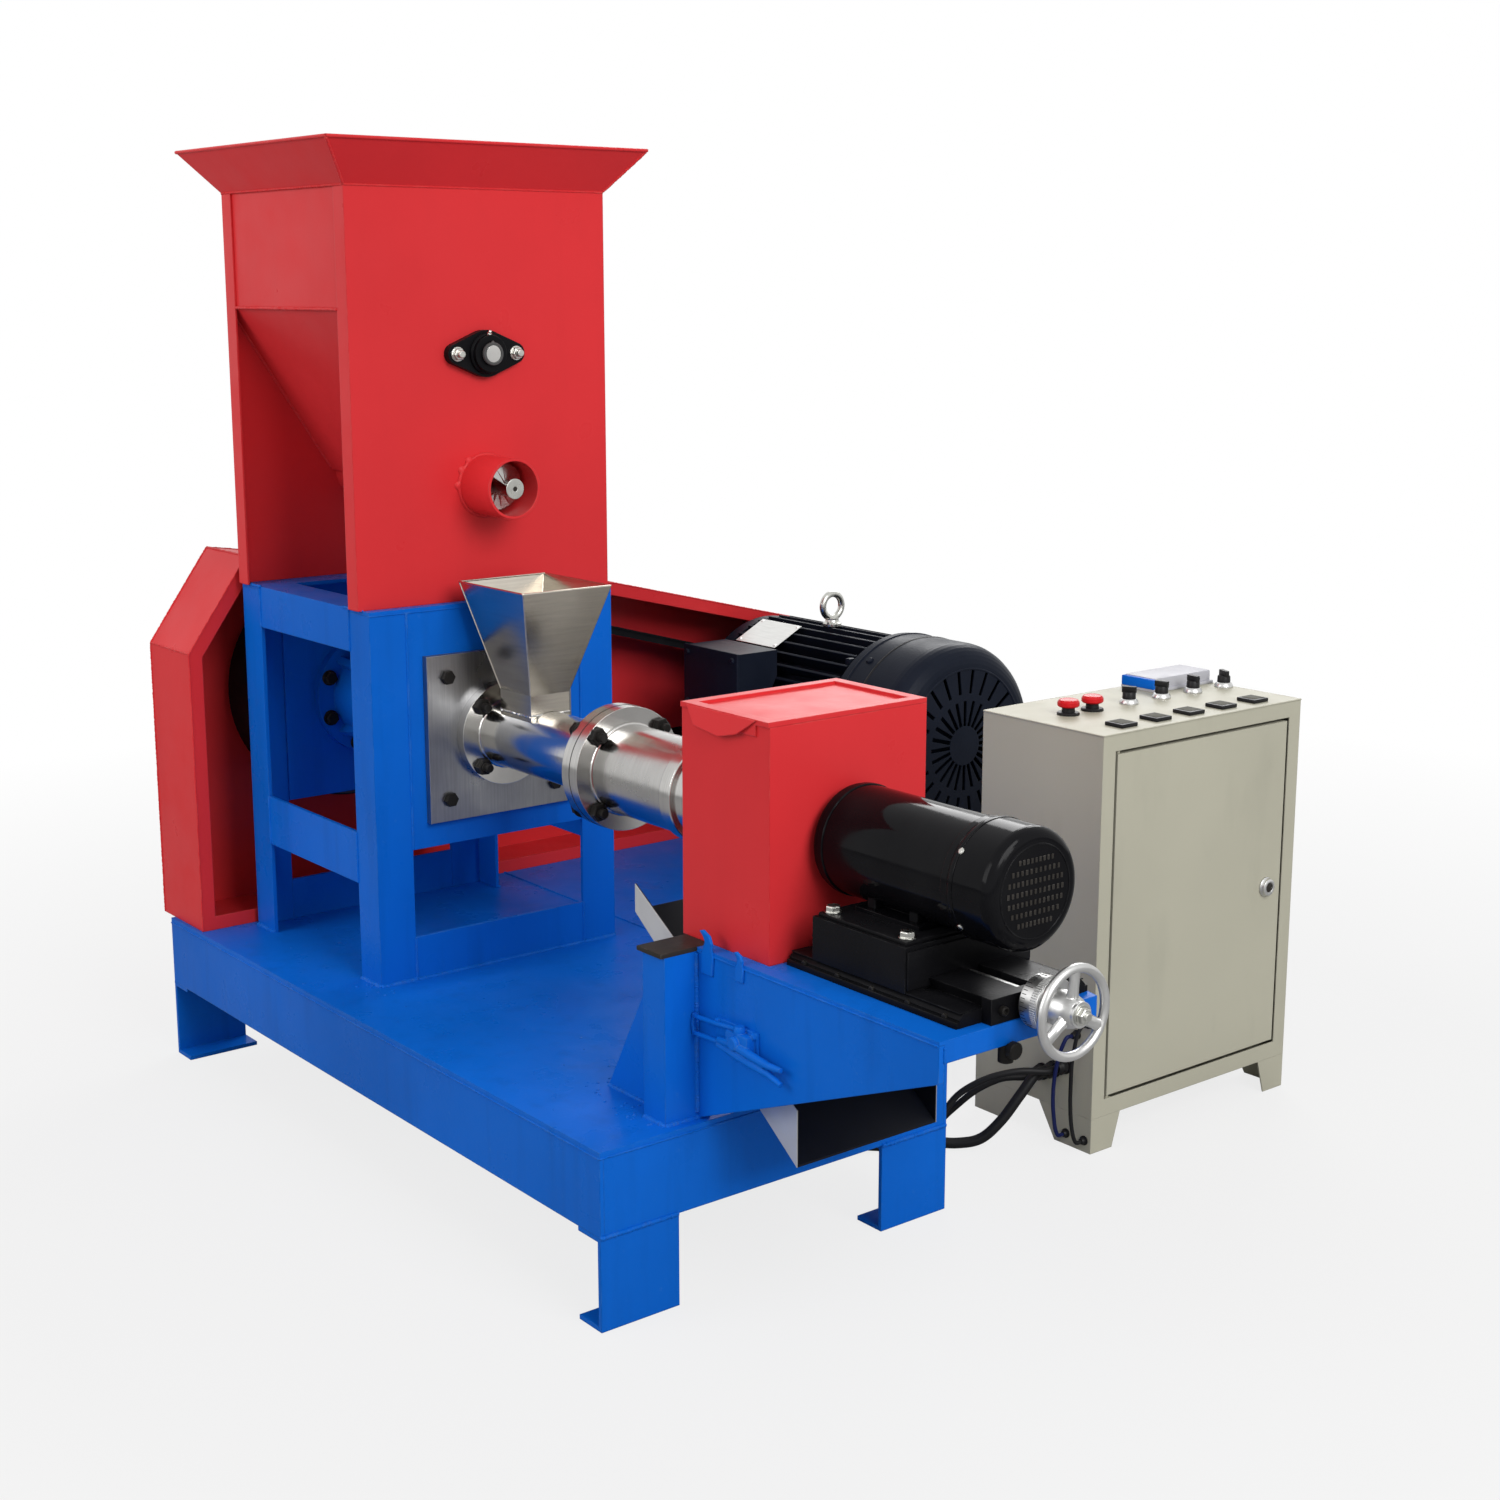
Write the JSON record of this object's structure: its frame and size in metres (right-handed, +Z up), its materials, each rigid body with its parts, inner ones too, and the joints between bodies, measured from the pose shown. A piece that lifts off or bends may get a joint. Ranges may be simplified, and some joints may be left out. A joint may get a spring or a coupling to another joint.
{
  "type": "fish feed extruder",
  "caption": "Single-screw feed extruder on a steel base: flared hopper, screw feeder, barrel, arm-mounted cutter with chute, belt drive with motor, and control cabinet.",
  "frame": {"origin": "on the floor under the middle of the machine's box, cables left out", "axes": "+X along the screw towards the discharge, +Y towards the drive motor's side, +Z up"},
  "size_m": [1.761, 1.33, 1.45],
  "materials": {
    "blue_paint": "gloss enamel over welded steel",
    "red_paint": "gloss enamel over sheet steel",
    "stainless": "brushed and polished",
    "cast_iron": "machined casting",
    "belt_rubber": "matt",
    "motor_paint": "satin dark blue enamel",
    "zinc_steel": "zinc plated",
    "grey_paint": "satin enamel",
    "black_casting": "black enamel",
    "black_gloss": "gloss black enamel",
    "chrome": "polished",
    "beige_paint": "fine textured powder coat",
    "black_plastic": "moulded",
    "black_cable": "matt sheath",
    "blue_cable": "matt sheath"
  },
  "bodies": {
    "machine": {"deck_plate": "blue_paint", "platform_plate": "blue_paint", "side_channels": "blue_paint", "end_channels": "blue_paint", "base_feet": "blue_paint", "motor_rails": "blue_paint", "pedestal_posts": "blue_paint", "pedestal_side_rails": "blue_paint", "pedestal_end_rails": "blue_paint", "pedestal_plates": "blue_paint", "spindle_housing": "blue_paint", "arm_posts": "blue_paint", "arm_plates": "blue_paint", "arm_table": "blue_paint", "arm_latch": "blue_paint", "belt_guard": "red_paint", "hopper_front_plate": "red_paint", "hopper_rear_plate": "red_paint", "hopper_side_walls": "red_paint", "hopper_slopes": "red_paint", "hopper_rim": "red_paint", "feed_tube": "red_paint", "feeder_chain_cover": "red_paint", "cutter_guard": "red_paint", "cutter_guard_lid": "red_paint", "barrel_plate": "stainless", "barrel_inlet": "stainless", "barrel_outlet": "stainless", "die_head": "stainless", "feed_funnel": "stainless", "chute": "stainless", "drive_belts": "belt_rubber", "motor_body": "motor_paint", "motor_end_shields": "motor_paint", "motor_fan_cowl": "motor_paint", "motor_terminal_box": "motor_paint", "motor_lifting_eye": "zinc_steel", "feeder_gearmotor": "grey_paint", "agitator_bearing": "black_casting", "slide_base": "black_casting", "cabinet_shell": "beige_paint", "cabinet_feet": "beige_paint", "cabinet_controls": "black_plastic", "cable_glands": "black_plastic", "power_cable": "black_cable", "cutter_cable": "black_cable", "feeder_cable": "black_cable", "black_lead": "black_cable", "blue_lead": "blue_cable"},
    "spindle": {"main_spindle": "stainless", "large_pulley": "cast_iron"},
    "motor_rotor": {"motor_pulley": "cast_iron"},
    "feed_screw": {"feed_screw": "stainless"},
    "agitator": {"agitator": "stainless"},
    "cutter_carriage": {"carriage": "black_casting", "cutter_motor": "black_gloss", "knife_hub": "stainless"},
    "handwheel": {"handwheel": "chrome"},
    "cabinet_door": {"cabinet_door": "beige_paint"}
  },
  "joints": [
    {"name": "spindle_spin", "type": "hinge", "parent": "machine", "child": "spindle", "pos_m": [-0.8065, -0.359, 0.596], "axis": [1, 0, 0], "continuous": true},
    {"name": "motor_spin", "type": "hinge", "parent": "machine", "child": "motor_rotor", "pos_m": [-0.8065, 0.485, 0.48], "axis": [1, 0, 0], "continuous": true},
    {"name": "feed_screw_spin", "type": "hinge", "parent": "machine", "child": "feed_screw", "pos_m": [-0.7135, -0.359, 0.962], "axis": [1, 0, 0], "continuous": true},
    {"name": "agitator_spin", "type": "hinge", "parent": "machine", "child": "agitator", "pos_m": [-0.7135, -0.359, 1.154], "axis": [1, 0, 0], "continuous": true},
    {"name": "wheel_turn", "type": "hinge", "parent": "machine", "child": "handwheel", "pos_m": [0.8635, -0.359, 0.473], "axis": [1, 0, 0], "range_deg": [0, 3604]},
    {"name": "carriage_slide", "type": "slide", "parent": "machine", "child": "cutter_carriage", "axis": [1, 0, 0], "range_m": [0, 0.04]},
    {"name": "door_swing", "type": "hinge", "parent": "machine", "child": "cabinet_door", "pos_m": [0.3885, 0.242, 0.34], "axis": [0, 0, -1], "range_deg": [0, 110]}
  ],
  "couplings": [
    {"joint": "motor_spin", "follows": "spindle_spin", "ratio": 2.6794},
    {"joint": "agitator_spin", "follows": "feed_screw_spin", "ratio": 1},
    {"joint": "wheel_turn", "follows": "carriage_slide", "rad_per_m": 1570.8}
  ]
}
